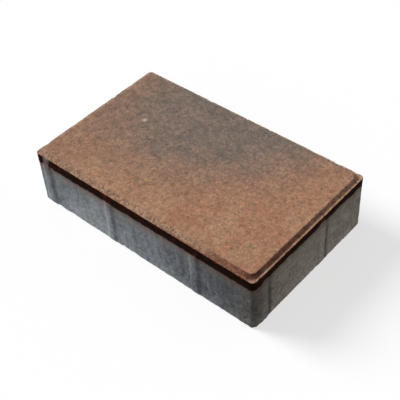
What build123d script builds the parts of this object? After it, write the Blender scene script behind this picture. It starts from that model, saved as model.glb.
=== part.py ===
from build123d import *
from math import atan2, degrees
import os

# Long stone of a three-format concrete paving set, cast as one piece.
# It lies as laid, with the origin in the middle of the bed face, X along its length and Z up.

# Laying raster, measured over the spacer ribs, and the joint between two stones
raster_length = 260.0
raster_width = 160.0
thickness = 60.0
joint_width = 3.0

# Upright corners of the moulded walls
wall_corner_radius = 3.0

# Edge of the wearing face: the shoe presses a bevel and leaves a narrow land along the mould wall
bevel_width = 3.0
bevel_drop = 2.5
land_width = 2.2
face_corner_radius = 4.0

# Spacer ribs on the walls, open at the bed and running out below the wearing face
rib_foot_width = 11.0
rib_face_width = 7.0
rib_top_gap = 9.0
rib_run_out = 4.0
rib_end_gap = 15.0

# Sizes that follow from those above
body_length = raster_length - joint_width
body_width = raster_width - joint_width
land_height = thickness - bevel_drop
bevel_angle = degrees(atan2(bevel_width, bevel_drop))
crown_length = body_length - 2 * land_width
crown_width = body_width - 2 * land_width
crown_corner_radius = face_corner_radius + bevel_width
rib_proud = joint_width / 2
rib_height = thickness - rib_top_gap
rib_face_height = rib_height - rib_run_out

# Middles of the ribs along a wall, from the wall's left end as seen from outside.
# Each wall has one beside its left end and one half a stone's width on, the long wall one more.
rib_step = raster_width / 2
short_wall_ribs = (rib_end_gap, rib_end_gap + rib_step)
long_wall_ribs = short_wall_ribs + (raster_length - rib_step + rib_end_gap,)

# Foot of the front wall and of the right-hand wall, with the left end as the origin
front_wall = Plane(
    origin=(-raster_length / 2, -body_width / 2, 0),
    x_dir=(1, 0, 0),
    z_dir=(0, -1, 0),
)
right_wall = Plane(
    origin=(body_length / 2, -raster_width / 2, 0),
    x_dir=(0, 1, 0),
    z_dir=(1, 0, 0),
)

# Ribs of the front and right-hand walls, each tapering from its foot on the wall to its face
with BuildPart() as spacer_ribs:
    for wall, rib_places in ((front_wall, long_wall_ribs), (right_wall, short_wall_ribs)):
        for rib_place in rib_places:
            with BuildSketch(wall) as rib_foot:
                with Locations((rib_place, rib_height / 2)):
                    Rectangle(rib_foot_width, rib_height)
            with BuildSketch(wall.offset(rib_proud)) as rib_face:
                with Locations((rib_place, rib_face_height / 2)):
                    Rectangle(rib_face_width, rib_face_height)
            loft(ruled=True)

with BuildPart() as paving_stone:
    # Moulded body, from the bed face up to the land
    with BuildSketch() as body_outline:
        RectangleRounded(body_length, body_width, wall_corner_radius)
    extrude(amount=land_height)

    # Pressed crown, bevelled all round up to the wearing face
    with BuildSketch(Plane.XY.offset(land_height)) as crown_outline:
        RectangleRounded(crown_length, crown_width, crown_corner_radius)
    extrude(amount=bevel_drop, taper=bevel_angle)

    # The back and left-hand walls carry the same ribs, turned half round about the upright axis
    add(spacer_ribs.part)
    add(spacer_ribs.part, rotation=(0, 0, 180))

paving_stone.part.label = "paving_stone"

os.makedirs("parts", exist_ok=True)
export_step(paving_stone.part, "parts/paving_stone.step")
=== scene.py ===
import math
import random

import bpy
import numpy as np
from mathutils import Matrix, Vector, noise


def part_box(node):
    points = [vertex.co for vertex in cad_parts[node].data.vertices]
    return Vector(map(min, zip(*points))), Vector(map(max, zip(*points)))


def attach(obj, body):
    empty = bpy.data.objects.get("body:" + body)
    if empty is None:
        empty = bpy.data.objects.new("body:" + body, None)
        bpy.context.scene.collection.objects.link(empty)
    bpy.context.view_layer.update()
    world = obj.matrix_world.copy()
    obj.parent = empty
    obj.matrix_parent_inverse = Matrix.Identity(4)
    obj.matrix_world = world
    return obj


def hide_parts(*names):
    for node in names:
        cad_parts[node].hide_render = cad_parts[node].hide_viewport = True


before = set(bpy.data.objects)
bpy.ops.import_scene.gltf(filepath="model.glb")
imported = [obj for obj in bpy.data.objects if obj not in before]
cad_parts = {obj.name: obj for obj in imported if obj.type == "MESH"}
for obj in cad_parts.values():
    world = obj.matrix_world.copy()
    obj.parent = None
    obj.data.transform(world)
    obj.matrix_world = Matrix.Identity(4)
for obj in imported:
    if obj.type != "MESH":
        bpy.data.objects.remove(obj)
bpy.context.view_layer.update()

# The stone is worked out in millimetres, with the origin in the middle of its bed face
mm = 0.001
tiny = 1e-9  # keeps a division from meeting zero
boxLow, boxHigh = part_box("paving_stone")
rasterHalf = np.array((boxHigh - boxLow)[:2]) / 2 / mm
height = (boxHigh - boxLow).z / mm
print("frame: stone", 2 * rasterHalf, "x", round(height, 3), "mm")

# What the stone is shaped by. The first sizes repeat the CAD model's, the rest are the mesh and its wear.
# Waves give a strength, a lump size and a shift.
stoneShape = {
    "joint": 3.0,  # the ribs take half of it on each wall
    "wallCorner": 3.0,
    "landWidth": 2.2,
    "bevelWidth": 3.0,
    "bevelDrop": 2.5,
    "faceCorner": 4.0,
    "ribFoot": 11.0,
    "ribTopGap": 9.0,
    "ribRunOut": 4.0,
    "ribEndGap": 15.0,
    "ribRound": 3.5,  # 1 makes the rib a ridge, a large number makes it a box
    "ribFootWear": (10.0, 0.3),  # over this height the ribs are worn down to this share at the bed face
    "cornerWear": (1.5, 2.0),  # how much rounder wear leaves the upright corners and the face's
    "cells": (242, 148),  # along the length and the width, even numbers
    "wallRows": 41,
    "edgeRows": (0.4, 0.9, 1.6, 2.5),  # closer rows beside the upper and lower wall edges
    "landRows": (0.4, 0.9, 2.0),
    "bedRows": (1.4, 0.6),
    "bevelRows": 3,
    "faceRow": 0.8,  # first row of the wearing face inside the bevel
    "bedInset": 2.2,
    "rimBlunt": 0.35,
    "bedBlunt": 0.5,
    "bluntWaves": [(0.55, 4.2, 3.1), (0.45, 1.9, 8.7)],
    "rimChips": 26,
    "rimChipSize": ((1.5, 5.0), (0.3, 1.1)),  # reach along the edge and depth
    "bedChips": 30,
    "bedChipSize": ((1.5, 5.0), (0.3, 1.1)),
    "chipCurve": 0.8,  # 1 makes a chip a straight notch, less makes it fuller
    "leastLoss": 0.05,
    "mostLoss": 2.0,  # chips that meet take away no more than this
    "wornDepth": 0.25,  # edges that are cut deeper show it in their colour
    "knock": (-115.0, -78.5, 4.8, 1.5),  # the chip on the front rim: place, reach and depth
    "knockBare": 1.25,  # it bares the body as far out as this many reaches
    "shadeShift": 7.2,  # painted shade stays in the corner to the right of each rib
    "shadeHalf": 4.0,
    "shadeRound": 2.0,  # works as ribRound does
    "frontShade": 0.25,  # the front wall has less of it
    "cornerShade": (128.0, -78.0, 3.6, 0.5),  # painted shade on the right-hand front corner's upright edge: place, reach and strength
    "cornerFade": 1.5,  # it ends this many reaches out
    "seed": 26,
}

ribProud = stoneShape["joint"] / 2
bodyHalf = rasterHalf - ribProud
wallRadius = stoneShape["wallCorner"] + stoneShape["cornerWear"][0]
rimRadius = stoneShape["faceCorner"] + stoneShape["cornerWear"][1]
faceInset = stoneShape["landWidth"] + stoneShape["bevelWidth"] + stoneShape["faceRow"]
faceRadius = rimRadius - stoneShape["faceRow"]
landHeight = height - stoneShape["bevelDrop"]
ribTop = height - stoneShape["ribTopGap"]
chance = random.Random(stoneShape["seed"])
noise.seed_set(stoneShape["seed"])  # without it noise_vector differs from run to run

# Corners of the face's cells, and those on its border in order round the stone
cols, rows = stoneShape["cells"]
border = [(i, 0) for i in range(cols)] + [(cols, j) for j in range(rows)]
border += [(i, rows) for i in range(cols, 0, -1)] + [(0, j) for j in range(rows, 0, -1)]
around = len(border)


def wave(points, size, shift):
    # smooth noise between about -1 and 1, size is the width of a lump in mm, one number or one for each axis
    return np.array([noise.noise(Vector(p)) for p in np.asarray(points) / size + shift])


def waves(points, layers, start=0):
    # several waves on top of each other
    return sum((strength * wave(points, size, shift) for strength, size, shift in layers), start)


def ripple(points, size, reach):
    # the points pushed about, so that what is measured from them gets a ragged outline
    return points + reach * np.array([noise.noise_vector(Vector(p)) for p in points / size])


def plan(cells, inset, radius):
    # cell corners spread over a rectangle inset from the wall line, its corners pulled in to arcs
    half = bodyHalf - inset
    flat = (2 * np.array(cells) / (cols, rows) - 1) * half
    over = np.maximum(np.abs(flat) - (half - radius), 0)
    inCorner = (over > 0).all(axis=1)[:, None]
    pull = over.max(axis=1) / np.maximum(np.linalg.norm(over, axis=1), tiny)
    return np.where(inCorner, np.sign(flat) * (half - radius + over * pull[:, None]), flat)


# The wall line with its outward directions, and the walls with the places of their ribs,
# measured from the left end of each wall as seen from outside
wallLine = plan(border, 0, wallRadius)
lean = np.sign(wallLine) * np.maximum(np.abs(wallLine) - (bodyHalf - wallRadius), 0)
outward = lean / np.linalg.norm(lean, axis=1)[:, None]
shortRibs = [stoneShape["ribEndGap"], stoneShape["ribEndGap"] + rasterHalf[1]]
longRibs = shortRibs + [2 * rasterHalf[0] - rasterHalf[1] + stoneShape["ribEndGap"]]
ribWalls = [
    (outward[:, 1] == -1, rasterHalf[0] + wallLine[:, 0], longRibs),
    (outward[:, 1] == 1, rasterHalf[0] - wallLine[:, 0], longRibs),
    (outward[:, 0] == 1, rasterHalf[1] + wallLine[:, 1], shortRibs),
    (outward[:, 0] == -1, rasterHalf[1] - wallLine[:, 1], shortRibs),
]


def ribStrips(shift, half, power):
    # upright strips at or beside the ribs, for each point of the wall line: 0 outside, 1 along their middle
    share = np.zeros(around)
    for onWall, alongWall, places in ribWalls:
        for place in places:
            off = np.abs(alongWall - place - shift) / half
            share = np.where(onWall, np.maximum(share, 1 - off**power), share)
    return share


ribColumn = ribStrips(0, stoneShape["ribFoot"] / 2, stoneShape["ribRound"])
# painted shade beside the ribs, less of it on the front wall, and on the right-hand front corner's upright
# edge
paintedShadeColumn = ribStrips(stoneShape["shadeShift"], stoneShape["shadeHalf"], stoneShape["shadeRound"])
paintedShadeColumn *= np.where(outward[:, 1] == -1, stoneShape["frontShade"], 1)
cornerX, cornerY, cornerReach, cornerStrength = stoneShape["cornerShade"]
cornerGap = np.linalg.norm(wallLine - (cornerX, cornerY), axis=1) / cornerReach
cornerNear = np.clip(stoneShape["cornerFade"] - cornerGap, 0, 1)
paintedShadeColumn = np.maximum(paintedShadeColumn, cornerStrength * cornerNear)
knockX, knockY, knockReach, knockDepth = stoneShape["knock"]
knockGap = np.linalg.norm(wallLine - (knockX, knockY), axis=1) / knockReach


def ribShare(z):
    # how far up its rib each point of the wall line is at this height, 0 on the bare wall and 1 on a crest
    top = min(max((ribTop - z) / stoneShape["ribRunOut"], 0), 1)
    wornHeight, wornShare = stoneShape["ribFootWear"]
    up = min(z / wornHeight, 1)
    foot = wornShare + (1 - wornShare) * up * (2 - up)
    return ribColumn * foot * top * top * (3 - 2 * top)


def edgeLoss(blunt, count, chipSize):
    # size of the slanted cut that wear leaves along an edge, for each point of the wall line
    flat = np.column_stack([wallLine, np.zeros(around)])
    loss = blunt * waves(flat, stoneShape["bluntWaves"], 1)
    for _ in range(count):
        gap = np.linalg.norm(wallLine - wallLine[chance.randrange(around)], axis=1)
        reach, depth = (chance.uniform(*limits) for limits in chipSize)
        loss += depth * np.clip(1 - gap / reach, 0, 1) ** stoneShape["chipCurve"]
    return np.maximum(loss, stoneShape["leastLoss"])


def cutBack(distance, loss):
    # a point beside a worn edge: its new distance from the edge and the depth it is cut to
    inside = distance < loss
    return np.where(inside, (loss + distance) / 2, distance), np.where(inside, (loss - distance) / 2, 0)


def stackRings():
    # closed rows of points from the bed face up the walls and over the rim to the wearing face
    rings = []

    def ring(flat, z, zone, rib=0.0, cut=0.0):
        points = np.column_stack([flat, np.broadcast_to(z, around)])
        rings.append((points, zone, np.broadcast_to(rib, around), np.broadcast_to(cut, around)))

    rimLoss = edgeLoss(stoneShape["rimBlunt"], stoneShape["rimChips"], stoneShape["rimChipSize"])
    rimLoss = np.minimum(rimLoss + knockDepth * np.clip(1 - knockGap, 0, 1), stoneShape["mostLoss"])
    bedLoss = edgeLoss(stoneShape["bedBlunt"], stoneShape["bedChips"], stoneShape["bedChipSize"])
    bedLoss = np.minimum(bedLoss, stoneShape["mostLoss"])
    for inset in stoneShape["bedRows"]:
        moved, depth = cutBack(inset, bedLoss)
        ring(wallLine + outward * (ribShare(0) * ribProud - moved)[:, None], depth, "bed", cut=depth)

    close = stoneShape["edgeRows"]
    low = [0.0] + list(close)
    high = [landHeight - d for d in reversed(close)] + [landHeight]
    middle = list(np.linspace(low[-1], high[0], stoneShape["wallRows"])[1:-1])
    for z in low + middle + high:
        upZ, bedDepth = cutBack(z, bedLoss)
        downZ, rimDepth = cutBack(landHeight - z, rimLoss)
        newZ = upZ if z < landHeight / 2 else landHeight - downZ
        depth = bedDepth + rimDepth
        rib = ribShare(z)
        ring(wallLine + outward * (rib * ribProud - depth)[:, None], newZ, "wall", rib, depth)

    for inset in stoneShape["landRows"]:
        moved, depth = cutBack(inset, rimLoss)
        ring(wallLine - outward * moved[:, None], landHeight - depth, "land", cut=depth)
    for step in range(stoneShape["bevelRows"] + 1):
        along = step / stoneShape["bevelRows"]
        inset = stoneShape["landWidth"] + along * stoneShape["bevelWidth"]
        radius = rimRadius + (1 - along) * stoneShape["bevelWidth"]
        ring(plan(border, inset, radius), landHeight + along * stoneShape["bevelDrop"], "bevel")
    ring(plan(border, faceInset, faceRadius), height, "face")
    return rings


def stitchFaces(ringCount, faceCells, bedCells):
    faces = []
    for k in range(ringCount - 1):
        for i in range(around):
            n = (i + 1) % around
            faces.append((k * around + i, k * around + n, (k + 1) * around + n, (k + 1) * around + i))
    faceAt = {cell: (ringCount - 1) * around + i for i, cell in enumerate(border)}
    faceAt.update({cell: ringCount * around + i for i, cell in enumerate(faceCells)})
    for j in range(rows):
        for i in range(cols):
            faces.append((faceAt[i, j], faceAt[i + 1, j], faceAt[i + 1, j + 1], faceAt[i, j + 1]))
    # the bed face has cells twice as large, and those at its border take in the points between
    bedAt = {cell: i for i, cell in enumerate(border)}
    bedAt.update({cell: ringCount * around + len(faceCells) + i for i, cell in enumerate(bedCells)})
    for j in range(0, rows, 2):
        for i in range(0, cols, 2):
            loop = [(i, j), (i, j + 1), (i, j + 2), (i + 1, j + 2)]
            loop += [(i + 2, j + 2), (i + 2, j + 1), (i + 2, j), (i + 1, j)]
            faces.append([bedAt[cell] for cell in loop if cell in bedAt])
    return faces


def buildStone():
    # points with their zones and marks, and the faces between them
    rings = stackRings()
    faceCells = [(i, j) for j in range(1, rows) for i in range(1, cols)]
    bedCells = [(i, j) for j in range(2, rows, 2) for i in range(2, cols, 2)]
    facePlan = plan(faceCells, faceInset, faceRadius)
    bedPlan = plan(bedCells, stoneShape["bedInset"], wallRadius)
    inside = [np.column_stack([facePlan, np.full(len(facePlan), height)])]
    inside += [np.column_stack([bedPlan, np.zeros(len(bedPlan))])]
    points = np.vstack([ring[0] for ring in rings] + inside)
    zones = np.repeat([ring[1] for ring in rings], around).tolist()
    zones = np.array(zones + ["face"] * len(facePlan) + ["bed"] * len(bedPlan))
    rest = np.zeros(len(facePlan) + len(bedPlan))
    onWall = zones == "wall"
    cut = np.concatenate([ring[3] for ring in rings] + [rest])

    def upTheWalls(values):
        return np.concatenate([values] * len(rings) + [rest]) * onWall

    marks = {
        "faceMix": np.isin(zones, ["face", "bevel", "land"]).astype(float),
        "bevel": (zones == "bevel").astype(float),
        "land": (zones == "land").astype(float),
        "rib": np.concatenate([ring[2] for ring in rings] + [rest]),
        "column": upTheWalls(ribColumn),
        "paintedShade": upTheWalls(paintedShadeColumn),
        "bare": upTheWalls(np.clip(stoneShape["knockBare"] - knockGap, 0, 1)),
        "worn": np.clip(cut / stoneShape["wornDepth"] - 1, 0, 1),
    }
    return points, zones, marks, stitchFaces(len(rings), faceCells, bedCells)


# Fine relief of the three kinds of surface, in mm. Hollows give their number, reach and depth. Each surface
# lies a little further in than the CAD model's, so that no grain stands out past it.
relief = {
    "faceWaves": [(0.09, 46.0, 0.0), (0.05, 12.0, 4.0), (0.06, 3.3, 9.0), (0.04, 1.7, 2.0)],
    "facePits": (220, (0.9, 1.8), (0.12, 0.40)),
    "faceIn": 0.13,
    "dragWaves": [(0.05, (3.0, 3.0, 30.0), 5.0), (0.08, (9.0, 9.0, 60.0), 1.0)],
    "wallWaves": [(0.12, 9.0, 6.0), (0.12, 3.4, 3.0), (0.07, 1.9, 7.0)],
    "wallPores": (260, (0.9, 2.2), (0.2, 0.7)),
    "wallIn": 0.15,
    "bodyIn": 0.12,  # the grey body lies in by this much more
    "bandShare": 0.45,  # the dark band above it has this share of the walls' waves
    "bedWaves": [(0.22, 9.0, 0.0), (0.20, 3.6, 4.0)],
    "bedPores": (420, (1.5, 4.0), (0.4, 1.4)),
    "bedIn": 0.30,
    "poreFade": 4.0,  # pores get shallower this near to the lower edge
    "ragged": (2.3, 0.9),  # lump size and reach of the ripples in the hollows' outlines
    "manySmall": 2.2,  # 1 makes as many large hollows as small ones
    "depthChance": 0.3,  # share of the depth that doesn't go with the size
    "hollowRound": 1.5,  # 1 gives a hollow a sharp rim, more makes it softer
    "seamHeight": 49.8,  # where the dark face mix ends on the walls
    "frontSeam": 47.4,  # it reaches lower on the front wall
    "seamRise": (-78.0, -60.0),  # between these places across the width it rises from the one to the other
    "seamWaves": [(1.2, (14.0, 14.0, 1000.0), 0.0)],
    "seamBlur": 1.2,
    # a light grain on the wearing face, a rubbed spot on the right rim, and a painted highlight on the rim at
    # its near corner: place, reach, strength
    "paleSpots": [(-77.0, 15.5, 2.4, 1.0), (127.4, -61.0, 2.2, 0.45), (125.8, -75.8, 3.0, 0.22)],
    "paleFade": 1.3,  # they end this many reaches out
}


def scatterHollows(points, count, reachLimits, depthLimits):
    # how deep ragged hollows scattered over these points go, and how far each point lies in one
    ragged = ripple(points, *relief["ragged"])
    free = relief["depthChance"]
    depth = np.zeros(len(points))
    inside = np.zeros(len(points))
    for _ in range(count):
        size = chance.random() ** relief["manySmall"]
        reach = reachLimits[0] + size * (reachLimits[1] - reachLimits[0])
        share = free * chance.random() + (1 - free) * size
        deep = depthLimits[0] + share * (depthLimits[1] - depthLimits[0])
        gap = ragged - ragged[chance.randrange(len(points))]
        near = np.clip(1 - (gap * gap).sum(axis=1) / reach**2, 0, 1)
        depth = np.maximum(depth, deep * near ** relief["hollowRound"])
        inside = np.maximum(inside, near)
    return depth, inside


def roughen(points, zones, marks, normals):
    # moves the points along their normals and adds the marks of hollows and pale spots
    move = np.zeros(len(points))
    marks["hollow"] = np.zeros(len(points))
    marks["pale"] = np.zeros(len(points))

    up = marks["faceMix"] == 1
    p = points[up]
    depth, marks["hollow"][up] = scatterHollows(p, *relief["facePits"])
    move[up] = waves(p, relief["faceWaves"]) - relief["faceIn"] - depth
    for x, y, reach, strength in relief["paleSpots"]:
        near = np.clip(relief["paleFade"] - np.hypot(p[:, 0] - x, p[:, 1] - y) / reach, 0, 1)
        marks["pale"][up] = np.maximum(marks["pale"][up], strength * near)

    side = zones == "wall"
    p = points[side]
    seam = np.interp(p[:, 1], relief["seamRise"], (relief["frontSeam"], relief["seamHeight"]))
    seam += waves(p, relief["seamWaves"])
    below = 1 / (1 + np.exp((p[:, 2] - seam) / relief["seamBlur"]))
    depth, inside = scatterHollows(p, *relief["wallPores"])
    marks["hollow"][side] = inside * below
    depth *= below * np.clip(p[:, 2] / relief["poreFade"], 0, 1)
    coarse = waves(p, relief["dragWaves"]) + waves(p, relief["wallWaves"])
    coarse *= relief["bandShare"] + (1 - relief["bandShare"]) * below
    move[side] = coarse - relief["wallIn"] - relief["bodyIn"] * below - depth

    under = zones == "bed"
    p = points[under]
    depth, marks["hollow"][under] = scatterHollows(p, *relief["bedPores"])
    depth *= np.clip((bodyHalf - np.abs(p[:, :2])).min(axis=1) / relief["poreFade"], 0, 1)
    move[under] = waves(p, relief["bedWaves"]) - relief["bedIn"] - depth
    return points + normals * move[:, None]


def makeMesh(name, points, faces):
    mesh = bpy.data.meshes.new(name)
    mesh.from_pydata((points * mm).tolist(), [], faces)
    mesh.update()
    return mesh


points, zones, marks, faces = buildStone()
plainMesh = makeMesh("plainStone", points, faces)
normals = np.zeros(len(points) * 3)
plainMesh.vertex_normals.foreach_get("vector", normals)
bpy.data.meshes.remove(plainMesh)
points = roughen(points, zones, marks, normals.reshape(-1, 3))
stoneMesh = makeMesh("pavingStone", points, faces)
stoneMesh.polygons.foreach_set("use_smooth", [True] * len(stoneMesh.polygons))
for label, values in marks.items():
    stoneMesh.attributes.new(label, "FLOAT", "POINT").data.foreach_set("value", values.astype(np.float32))
stone = bpy.data.objects.new("pavingStone", stoneMesh)
bpy.context.scene.collection.objects.link(stone)
print("stone mesh:", len(points), "points,", sum(len(f) - 2 for f in faces), "triangles")


# Node helpers: a socket is linked, anything else is set on the input
def put(tree, kind, inputs=None, **settings):
    node = tree.nodes.new(kind)
    for key, value in settings.items():
        setattr(node, key, value)
    for key, value in (inputs or {}).items():
        if isinstance(value, bpy.types.NodeSocket):
            tree.links.new(value, node.inputs[key])
        else:
            node.inputs[key].default_value = value
    return node


def emptyTree(owner):
    # the node tree of a new material or world
    owner.use_nodes = True
    owner.node_tree.nodes.clear()
    return owner.node_tree


def blend(tree, amount, first, second):
    # from the first colour to the second, which go into sockets 6 and 7 of the mix node
    first, second = (c if isinstance(c, bpy.types.NodeSocket) else (*c, 1.0) for c in (first, second))
    return put(tree, "ShaderNodeMix", {0: amount, 6: first, 7: second}, data_type="RGBA").outputs[2]


def shade(tree, colour, factor):
    return put(tree, "ShaderNodeVectorMath", {0: colour, "Scale": factor}, operation="SCALE").outputs[0]


def calc(tree, how, first, second):
    return put(tree, "ShaderNodeMath", {0: first, 1: second}, operation=how).outputs[0]


def times(tree, first, second):
    return calc(tree, "MULTIPLY", first, second)


def fray(tree, value, by, amount):
    # adds some of a noise, which breaks up the limits of what is measured by the value
    return calc(tree, "ADD", value, times(tree, by, amount))


def span(tree, value, low, high, outLow=0.0, outHigh=1.0):
    # goes smoothly from outLow to outHigh while the value goes from low to high
    inputs = {"Value": value, "From Min": low, "From Max": high, "To Min": outLow, "To Max": outHigh}
    return put(tree, "ShaderNodeMapRange", inputs, interpolation_type="SMOOTHSTEP").outputs["Result"]


def cloud(tree, place, size, detail=2.0, rough=0.55, stretch=None):
    # noise from 0 to 1 whose lumps are about size mm wide
    if stretch:
        place = put(tree, "ShaderNodeVectorMath", {0: place, 1: stretch}, operation="MULTIPLY").outputs[0]
    inputs = {"Vector": place, "Scale": 1 / size, "Detail": detail, "Roughness": rough}
    return put(tree, "ShaderNodeTexNoise", inputs).outputs["Fac"]


def farFrom(tree, place, middle, reach, turn=0.0):
    # 0 in the middle of an egg-shaped region, 1 at its limits
    inputs = {"Vector": place, "Location": middle, "Rotation": (0, 0, turn), "Scale": reach}
    inside = put(tree, "ShaderNodeMapping", inputs, vector_type="TEXTURE").outputs[0]
    return put(tree, "ShaderNodeVectorMath", {0: inside}, operation="LENGTH").outputs["Value"]


# Colours of the mixed face and the grey body
concrete = {
    "rust": (0.346, 0.174, 0.107),
    "tan": (0.386, 0.222, 0.139),
    "ember": (0.420, 0.190, 0.105),
    "rose": (0.236, 0.152, 0.114),
    "olive": (0.270, 0.200, 0.118),
    "smoke": (0.158, 0.137, 0.117),
    "ash": (0.214, 0.166, 0.138),
    "pitShade": (0.070, 0.042, 0.028),
    "quartz": (0.600, 0.480, 0.400),
    "basalt": (0.110, 0.080, 0.066),
    "umber": (0.011, 0.0025, 0.0008),
    "chestnut": (0.135, 0.045, 0.027),
    "rubbed": (0.345, 0.242, 0.178),
    "grey": (0.245, 0.259, 0.284),
    "slate": (0.160, 0.170, 0.188),
    "lime": (0.325, 0.342, 0.364),
    "sand": (0.332, 0.292, 0.238),
    "smear": (0.255, 0.220, 0.180),
    "poreShade": (0.085, 0.085, 0.086),
}

# What every layer reads. Here and in the layers' own tables, clouds are written as cloud takes them, regions
# as farFrom takes them, and anything that comes in by degrees as span takes it.
sharedLook = {
    "grainScale": 0.62,  # grains to the mm
    "fineCloud": (0.8, 2.0),
    "patchyCloud": (11.0, 3.0, 0.6),
    "wideCloud": (24.0, 2.0, 0.5, (1.0, 1.0, 0.4)),
    "mottle": (0.25, 0.75, 0.87, 1.13),
    "grainShade": (0.0, 1.0, 0.86, 1.14),
    "darkCornerRegion": ((122.0, -79.0, 26.0), (128.0, 42.0, 70.0)),  # the right-hand end of the front wall
    "darkCornerFray": 0.5,
    "darkCornerScale": (0.3, 1.25, 0.45, 1.0),
}


def readMarks(tree):
    # the place in mm, the marks on the mesh, the grains and the clouds
    spot = put(tree, "ShaderNodeTexCoord").outputs["Object"]
    place = shade(tree, spot, 1 / mm)
    axes = put(tree, "ShaderNodeSeparateXYZ", {0: place}).outputs
    read = {"place": place, "x": axes[0], "y": axes[1], "z": axes[2]}
    for label in marks:
        read[label] = put(tree, "ShaderNodeAttribute", attribute_name=label).outputs["Fac"]
    grains = put(tree, "ShaderNodeTexVoronoi", {"Vector": place, "Scale": sharedLook["grainScale"]})
    read["dome"] = grains.outputs["Distance"]
    read["grain"] = put(tree, "ShaderNodeSeparateXYZ", {0: grains.outputs["Color"]}).outputs
    read["fine"] = cloud(tree, place, *sharedLook["fineCloud"])
    read["mottle"] = span(tree, read["fine"], *sharedLook["mottle"])
    read["patchy"] = cloud(tree, place, *sharedLook["patchyCloud"])
    read["wide"] = cloud(tree, place, *sharedLook["wideCloud"])
    darkCorner = farFrom(tree, place, *sharedLook["darkCornerRegion"])
    darkCorner = fray(tree, darkCorner, read["wide"], sharedLook["darkCornerFray"])
    read["darkCornerScale"] = span(tree, darkCorner, *sharedLook["darkCornerScale"])
    return read


# The wearing face
faceLook = {
    "broadCloud": (38.0, 3.0),
    "spotCloud": (4.6, 2.0),
    "driftCloud": (7.5, 2.0, 0.6),
    "tan": (0.75, 1.25),
    "ember": (0.54, 0.72, 0.0, 0.55),
    "olive": (0.55, 0.75, 0.0, 0.5),
    "leftFray": 40.0,
    "leftRose": (-30.0, -100.0, 0.0, 0.4),
    "smokeRegion": ((-6.0, 94.0, 60.0), (136.0, 97.0, 1000.0), math.radians(54)),
    "smokeFray": 0.5,
    "smokeGrains": 0.16,
    "smokeAsh": (0.35, 0.65),
    "smokeRose": (0.45, 0.25, 0.0, 0.5),
    "smoke": (1.75, 0.85, 0.0, 0.94),
    "blotches": (0.3, 0.7, 0.88, 1.12),
    "quartz": (0.98, 0.99, 0.0, 0.18),
    "basalt": (0.035, 0.02, 0.0, 0.40),
    "pitShadeShare": 0.4,
}


def faceLayer(tree, read):
    # orange brown in clouds, duller along the left end
    broad = cloud(tree, read["place"], *faceLook["broadCloud"])
    spots = cloud(tree, read["place"], *faceLook["spotCloud"])
    both = calc(tree, "ADD", broad, read["patchy"])
    colour = blend(tree, span(tree, both, *faceLook["tan"]), concrete["rust"], concrete["tan"])
    colour = blend(tree, span(tree, spots, *faceLook["ember"]), colour, concrete["ember"])
    drift = cloud(tree, read["place"], *faceLook["driftCloud"])
    colour = blend(tree, span(tree, drift, *faceLook["olive"]), colour, concrete["olive"])
    leftward = fray(tree, read["x"], broad, faceLook["leftFray"])
    colour = blend(tree, span(tree, leftward, *faceLook["leftRose"]), colour, concrete["rose"])

    # smoky grey cloud that breaks up grain by grain at its limits
    away = farFrom(tree, read["place"], *faceLook["smokeRegion"])
    away = fray(tree, away, read["patchy"], faceLook["smokeFray"])
    away = fray(tree, away, read["grain"][0], faceLook["smokeGrains"])
    smoky = blend(tree, span(tree, read["patchy"], *faceLook["smokeAsh"]), concrete["smoke"], concrete["ash"])
    smoky = blend(tree, span(tree, drift, *faceLook["smokeRose"]), smoky, concrete["rose"])
    colour = blend(tree, span(tree, away, *faceLook["smoke"]), colour, smoky)

    # blotches and single grains, and painted shade in the pits
    colour = shade(tree, colour, span(tree, spots, *faceLook["blotches"]))
    colour = shade(tree, colour, span(tree, read["grain"][1], *sharedLook["grainShade"]))
    colour = shade(tree, colour, read["mottle"])
    colour = blend(tree, span(tree, read["grain"][2], *faceLook["quartz"]), colour, concrete["quartz"])
    colour = blend(tree, span(tree, read["grain"][2], *faceLook["basalt"]), colour, concrete["basalt"])
    return blend(tree, times(tree, read["hollow"], faceLook["pitShadeShare"]), colour, concrete["pitShade"])


# The bevel and the land
rimLook = {
    "landRub": 0.7,  # the land is rubbed by this share of the bevel's
    "rubShare": 0.4,
    "bevelPaintedShade": (0.0, 1.0, 1.0, 0.86),
    "front": (-72.0, -76.0),  # the front rim begins between these places across the width
    "sideLandLight": (0.0, 1.0, 0.10, 0.0),  # painted light: the land is lighter, except on the front
    "cornerBevelDarkRegion": ((128.0, -70.0, 60.0), (72.0, 130.0, 1000.0)),
    "cornerBevelDarkFray": 0.6,
    "cornerBevelDark": (1.4, 0.5, 0.0, 0.75),
    "tipShadowRegion": ((122.0, -72.0, 60.0), (9.0, 9.0, 1000.0)),
    "tipShadow": (1.3, 0.3, 0.0, 0.4),
    "landFray": 60.0,
    "landDarker": (0.0, 140.0, 0.12, 0.72),
    "landEnd": (116.0, 126.0, 1.0, 0.35),
    "grains": (0.0, 1.0, -0.25, 0.25),
    "paleShare": 0.8,
}


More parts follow.
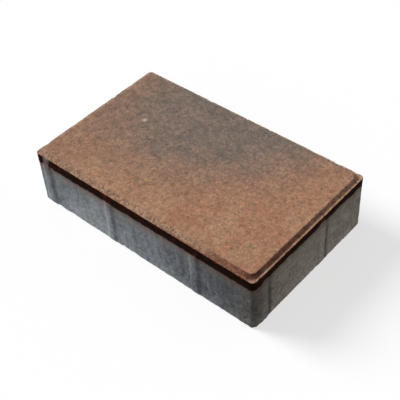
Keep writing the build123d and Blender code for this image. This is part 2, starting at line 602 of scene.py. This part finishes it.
def rimLayer(tree, read, face):
    # bevel and land rubbed paler, the land less so; painted shade darkens the bevel, and painted light
    # lightens the land off the front
    pressed = calc(tree, "MAXIMUM", read["bevel"], times(tree, read["land"], rimLook["landRub"]))
    colour = blend(tree, times(tree, pressed, rimLook["rubShare"]), face, concrete["rubbed"])
    colour = shade(tree, colour, span(tree, read["bevel"], *rimLook["bevelPaintedShade"]))
    front = span(tree, read["y"], *rimLook["front"])
    # painted light: the land lighter away from the front
    bare = times(tree, read["land"], span(tree, front, *rimLook["sideLandLight"]))
    colour = shade(tree, colour, calc(tree, "ADD", bare, 1.0))

    # the bevel reddish and darker round the right-hand front corner, with a painted shadow at its tip
    cornerBevelDark = farFrom(tree, read["place"], *rimLook["cornerBevelDarkRegion"])
    cornerBevelDark = fray(tree, cornerBevelDark, read["patchy"], rimLook["cornerBevelDarkFray"])
    onBevel = times(tree, read["bevel"], span(tree, cornerBevelDark, *rimLook["cornerBevelDark"]))
    colour = blend(tree, onBevel, colour, concrete["chestnut"])
    # painted shadow on the bevel at the corner's tip
    tipShadow = farFrom(tree, read["place"], *rimLook["tipShadowRegion"])
    onTip = times(tree, read["bevel"], span(tree, tipShadow, *rimLook["tipShadow"]))
    colour = blend(tree, onTip, colour, concrete["umber"])

    # and the front land darker up to that corner
    ragged = fray(tree, read["x"], read["patchy"], rimLook["landFray"])
    onLand = times(tree, read["land"], span(tree, ragged, *rimLook["landDarker"]))
    onLand = times(tree, onLand, span(tree, read["x"], *rimLook["landEnd"]))
    colour = blend(tree, times(tree, onLand, front), colour, concrete["chestnut"])

    # grains that show through it
    rim = calc(tree, "MAXIMUM", read["bevel"], read["land"])
    grainy = times(tree, rim, span(tree, read["grain"][1], *rimLook["grains"]))
    colour = shade(tree, colour, calc(tree, "ADD", grainy, 1.0))
    # pale spots, the one at the near corner a painted highlight
    return blend(tree, times(tree, read["pale"], rimLook["paleShare"]), colour, concrete["quartz"])


# The grey body
bodyLook = {
    "drawnCloud": (6.0, 3.0, 0.6, (1.0, 1.0, 0.3)),
    "bandCloud": (15.0, 2.0, 0.5),
    "lumpCloud": (3.6, 2.0),
    "grey": (0.30, 0.60),
    "palePatchRegion": ((-62.0, -79.0, 12.0), (70.0, 60.0, 46.0)),
    "palePatchFray": 0.4,
    "palePatch": (0.9, -0.1, 0.0, 0.8),
    "backSlant": 1.2,
    "backSand": (20.0, 120.0, 0.0, 0.88),
    "bandShade": (0.3, 0.7, 0.88, 1.12),
    "crestShade": (0.6, 1.0, 1.0, 1.12),
    "shadeGaps": (0.3, 0.6, 1.0, 0.65),
    "paintedShadeScale": (0.0, 1.0, 1.0, 0.38),
    "footPaintedLight": (3.0, 24.0, 1.16, 1.0),
    "lumpShade": (0.3, 0.7, 0.84, 1.16),
    "poreShadeShare": 0.45,
}


def bodyLayer(tree, read):
    # soft upright clouds, a paler patch on the front, warmer towards the back right, darker at the front
    # corner
    drawn = cloud(tree, read["place"], *bodyLook["drawnCloud"])
    colour = blend(tree, span(tree, drawn, *bodyLook["grey"]), concrete["slate"], concrete["grey"])
    palePatchGap = farFrom(tree, read["place"], *bodyLook["palePatchRegion"])
    palePatchGap = calc(tree, "SUBTRACT", palePatchGap, times(tree, read["wide"], bodyLook["palePatchFray"]))
    colour = blend(tree, span(tree, palePatchGap, *bodyLook["palePatch"]), colour, concrete["lime"])
    backRight = calc(tree, "ADD", times(tree, read["x"], bodyLook["backSlant"]), read["y"])
    colour = blend(tree, span(tree, backRight, *bodyLook["backSand"]), colour, concrete["sand"])
    bands = cloud(tree, read["place"], *bodyLook["bandCloud"])
    colour = shade(tree, colour, span(tree, bands, *bodyLook["bandShade"]))
    colour = shade(tree, colour, read["darkCornerScale"])

    # lighter rib crests, painted shade beside them, a foot painted lighter, grains, and painted shade in the
    # pores
    colour = shade(tree, colour, span(tree, read["rib"], *bodyLook["crestShade"]))
    paintedShade = times(tree, read["paintedShade"], span(tree, drawn, *bodyLook["shadeGaps"]))
    colour = shade(tree, colour, span(tree, paintedShade, *bodyLook["paintedShadeScale"]))
    # painted light: the walls paler towards the foot, as light from the floor would make them
    colour = shade(tree, colour, span(tree, read["z"], *bodyLook["footPaintedLight"]))
    lumps = cloud(tree, read["place"], *bodyLook["lumpCloud"])
    colour = shade(tree, colour, span(tree, lumps, *bodyLook["lumpShade"]))
    colour = shade(tree, colour, span(tree, read["grain"][1], *sharedLook["grainShade"]))
    colour = shade(tree, colour, read["mottle"])
    # painted shade in the pores
    return blend(tree, times(tree, read["hollow"], bodyLook["poreShadeShare"]), colour, concrete["poreShade"])


# The dark band at the top of the walls, heights in mm above the seam
seamLook = {
    "unevenCloud": (9.0, 3.0, 0.6, (1.0, 1.0, 0.0)),
    "stainCloud": (7.0, 2.0),
    "frayedCloud": (3.2, 3.0, 0.6),
    "uneven": (0.2, 0.8, -1.1, 1.1),
    "fineFray": 1.6,
    "ribRise": 1.4,  # the seam lies this much higher on the ribs
    "stain": (0.55, 0.75, 0.0, 0.2),
    "grains": (0.8, 1.0, 0.0, 0.22),
    "ribStain": (0.35, 0.65, 0.0, 0.3),
    "smear": (-16.0, -3.0, 0.0, 0.5),
    "fringe": (-6.0, 1.0, 0.0, 0.4),
    "torn": (0.3, 0.7, -0.3, 0.3),
    "edge": (0.0, 1.8),
    "cover": (0.3, 0.7, 1.0, 0.2),  # how much of it stays where the rim is knocked off
}


def seamLayer(tree, read, body):
    # dark face mix, smeared a little way down, and chestnut over the ribs and where the rim is chipped
    uneven = cloud(tree, read["place"], *seamLook["unevenCloud"])
    seam = span(tree, read["y"], *relief["seamRise"], relief["frontSeam"], relief["seamHeight"])
    seam = calc(tree, "ADD", seam, span(tree, uneven, *seamLook["uneven"]))
    above = calc(tree, "SUBTRACT", read["z"], seam)
    above = fray(tree, above, read["fine"], seamLook["fineFray"])
    above = calc(tree, "SUBTRACT", above, times(tree, read["column"], seamLook["ribRise"]))
    stain = cloud(tree, read["place"], *seamLook["stainCloud"])
    dark = blend(tree, span(tree, stain, *seamLook["stain"]), concrete["umber"], concrete["chestnut"])
    dark = blend(tree, span(tree, read["grain"][1], *seamLook["grains"]), dark, concrete["chestnut"])
    onRib = times(tree, read["column"], span(tree, stain, *seamLook["ribStain"]))
    lighter = calc(tree, "MAXIMUM", read["worn"], onRib)
    dark = shade(tree, blend(tree, lighter, dark, concrete["chestnut"]), read["darkCornerScale"])
    warm = shade(tree, concrete["smear"], read["darkCornerScale"])
    smeared = blend(tree, span(tree, above, *seamLook["smear"]), body, warm)
    smeared = blend(tree, span(tree, above, *seamLook["fringe"]), smeared, concrete["chestnut"])
    frayed = cloud(tree, read["place"], *seamLook["frayedCloud"])
    torn = calc(tree, "ADD", read["bare"], span(tree, frayed, *seamLook["torn"]))
    covered = times(tree, span(tree, above, *seamLook["edge"]), span(tree, torn, *seamLook["cover"]))
    return blend(tree, covered, smeared, dark)


# The grit that is too fine for the mesh
gritLook = {
    "domes": -0.5,  # how the surface falls off from the middle of each grain
    "bump": 0.22,  # mm
    "roughness": (0.3, 0.7, 0.82, 0.96),
    "specular": 0.03,
}


def concreteMaterial():
    material = bpy.data.materials.new("mixedConcrete")
    tree = emptyTree(material)
    read = readMarks(tree)
    walls = seamLayer(tree, read, bodyLayer(tree, read))
    top = rimLayer(tree, read, faceLayer(tree, read))
    colour = blend(tree, read["faceMix"], walls, top)
    grit = fray(tree, read["fine"], read["dome"], gritLook["domes"])
    bump = put(tree, "ShaderNodeBump", {"Height": grit, "Strength": 1.0, "Distance": gritLook["bump"] * mm})
    inputs = {
        "Base Color": colour,
        "Roughness": span(tree, read["fine"], *gritLook["roughness"]),
        "Specular IOR Level": gritLook["specular"],
        "Normal": bump.outputs[0],
    }
    shader = put(tree, "ShaderNodeBsdfPrincipled", inputs)
    put(tree, "ShaderNodeOutputMaterial", {"Surface": shader.outputs[0]})
    return material


stoneMesh.materials.append(concreteMaterial())
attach(stone, "root")
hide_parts("paving_stone")
print("stone dressed")

# Camera at the photograph's angle, brought nearer so that the stone fills the frame
cameraSet = {
    "azimuth": 43.5,
    "elevation": 44.5,
    "roll": -3.9,
    "distance": 0.80,  # m, from the point it looks at
    "fill": 0.84,  # share of the picture that the stone takes, the longer way
    "sensor": 36.0,  # mm
    "rounds": 6,  # of moving sideways until the stone sits in the middle of the picture
}


def makeCamera():
    azimuth, elevation, roll = (math.radians(cameraSet[key]) for key in ("azimuth", "elevation", "roll"))
    level = Vector((math.cos(azimuth), math.sin(azimuth), 0))
    flat = math.cos(elevation)
    back = Vector((math.sin(azimuth) * flat, -math.cos(azimuth) * flat, math.sin(elevation)))
    upright = back.cross(level)
    right = math.cos(roll) * level + math.sin(roll) * upright
    up = math.cos(roll) * upright - math.sin(roll) * level
    sides = [(x, y) for x in (boxLow.x, boxHigh.x) for y in (boxLow.y, boxHigh.y)]
    ends = [Vector((x, y, z)) for x, y in sides for z in (0, boxHigh.z)]
    target = (boxLow + boxHigh) / 2
    for _ in range(cameraSet["rounds"]):
        eye = target + back * cameraSet["distance"]
        depths = [(p - eye).dot(-back) for p in ends]
        across = [(p - eye).dot(right) / d for p, d in zip(ends, depths)]
        upward = [(p - eye).dot(up) / d for p, d in zip(ends, depths)]
        middle = right * (max(across) + min(across)) / 2 + up * (max(upward) + min(upward)) / 2
        target = target + middle * cameraSet["distance"]
    data = bpy.data.cameras.new("camera")
    data.sensor_width = cameraSet["sensor"]
    widest = max(max(across) - min(across), max(upward) - min(upward))
    data.lens = cameraSet["fill"] * cameraSet["sensor"] / widest
    camera = bpy.data.objects.new("camera", data)
    camera.matrix_world = Matrix.Translation(eye) @ Matrix((right, up, back)).transposed().to_4x4()
    bpy.context.scene.collection.objects.link(camera)
    bpy.context.scene.camera = camera
    print("camera: lens", round(data.lens, 2), "mm, eye", [round(v, 3) for v in eye])


makeCamera()

# White floor and sky, and a low soft light from the left
studio = {
    "floorSize": 6.0,
    "white": (1.0, 1.0, 1.0, 1.0),
    "floorGlow": 0.65,  # share of the floor's white that no shadow takes away
    "floorBounce": (0.5, 0.5, 0.5, 1.0),  # what the stone gets back from the floor
    "keyFrom": (-0.77, -0.20, 0.606),
    "keyStrength": 3.7,
    "keyAngle": math.radians(28),
    "skyLight": 0.28,  # what the stone gets from the sky
    "skySeen": 1.0,
}


def seenRays(tree):
    # 1 for what the camera sees, also in a reflection or through glass
    rays = put(tree, "ShaderNodeLightPath").outputs
    mirrored = calc(tree, "MAXIMUM", rays["Is Glossy Ray"], rays["Is Transmission Ray"])
    return calc(tree, "MAXIMUM", rays["Is Camera Ray"], mirrored)


def litFloor(tree, colour):
    lit = put(tree, "ShaderNodeBsdfDiffuse", {"Color": colour}).outputs[0]
    glow = put(tree, "ShaderNodeEmission", {"Color": colour}).outputs[0]
    return put(tree, "ShaderNodeMixShader", {0: studio["floorGlow"], 1: lit, 2: glow}).outputs[0]


def floorMaterial():
    material = bpy.data.materials.new("whiteFloor")
    tree = emptyTree(material)
    shown = litFloor(tree, studio["white"])
    bounce = litFloor(tree, studio["floorBounce"])
    final = put(tree, "ShaderNodeMixShader", {0: seenRays(tree), 1: bounce, 2: shown}).outputs[0]
    put(tree, "ShaderNodeOutputMaterial", {"Surface": final})
    return material


def makeStudio():
    half = studio["floorSize"] / 2
    corners = [(x, y, boxLow.z) for x, y in ((-half, -half), (half, -half), (half, half), (-half, half))]
    mesh = bpy.data.meshes.new("floor")
    mesh.from_pydata(corners, [], [(0, 1, 2, 3)])
    mesh.materials.append(floorMaterial())
    floor = bpy.data.objects.new("floor", mesh)
    bpy.context.scene.collection.objects.link(floor)

    key = bpy.data.objects.new("key", bpy.data.lights.new("key", "SUN"))
    key.data.energy = studio["keyStrength"]
    key.data.angle = studio["keyAngle"]
    key.rotation_mode = "QUATERNION"
    key.rotation_quaternion = Vector(studio["keyFrom"]).to_track_quat("Z", "Y")
    bpy.context.scene.collection.objects.link(key)

    world = bpy.data.worlds.new("sky")
    tree = emptyTree(world)
    light = put(tree, "ShaderNodeBackground", {"Color": studio["white"], "Strength": studio["skyLight"]})
    seen = put(tree, "ShaderNodeBackground", {"Color": studio["white"], "Strength": studio["skySeen"]})
    final = put(tree, "ShaderNodeMixShader", {0: seenRays(tree), 1: light.outputs[0], 2: seen.outputs[0]})
    put(tree, "ShaderNodeOutputWorld", {"Surface": final.outputs[0]})
    bpy.context.scene.world = world
    bpy.context.scene.view_settings.view_transform = "Standard"


makeStudio()
print("floor, light and sky placed")
